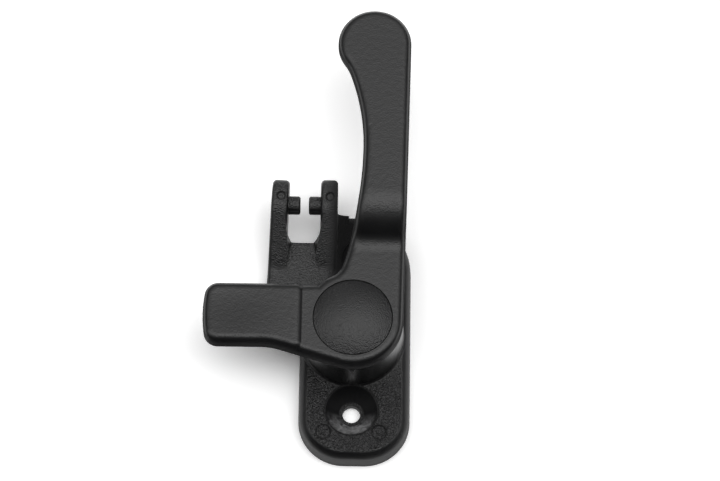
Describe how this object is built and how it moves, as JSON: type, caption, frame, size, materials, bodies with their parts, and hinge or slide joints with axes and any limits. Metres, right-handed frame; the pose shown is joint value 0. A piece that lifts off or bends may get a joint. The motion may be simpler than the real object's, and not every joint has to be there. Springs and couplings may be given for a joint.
{
  "type": "locking latch",
  "caption": "Rotary locking latch: screw-on base with a forked stay bracket, turning handle with a cranked lever and a short latch arm, and a domed push-button in its hub.",
  "frame": {"origin": "on the handle's turning axis, in the plane of the mounting face", "axes": "+Z out of the mounting face towards the handle, +Y along the lever at rest, +X to the side away from the short latch arm"},
  "size_m": [0.0395, 0.0871, 0.02],
  "materials": {
    "black_moulding": "fine spark-eroded texture, satin",
    "steel": "zinc plated",
    "natural_nylon": "smooth"
  },
  "bodies": {
    "base": {"base": "black_moulding", "pivot_screw": "steel", "pivot_washer": "steel"},
    "handle": {"handle": "black_moulding", "friction_washer": "natural_nylon", "button_spring": "steel"},
    "button": {"push_button": "black_moulding"}
  },
  "joints": [
    {"name": "handle_turn", "type": "hinge", "parent": "base", "child": "handle", "pos_m": [0, 0, 0.0129], "axis": [0, 0, 1], "range_deg": [-90, 0]},
    {"name": "button_press", "type": "slide", "parent": "handle", "child": "button", "axis": [0, 0, -1], "range_m": [0, 0.002], "stiffness_N_per_m": 800, "springref_m": -0.003, "deforming": ["button_spring"]}
  ]
}
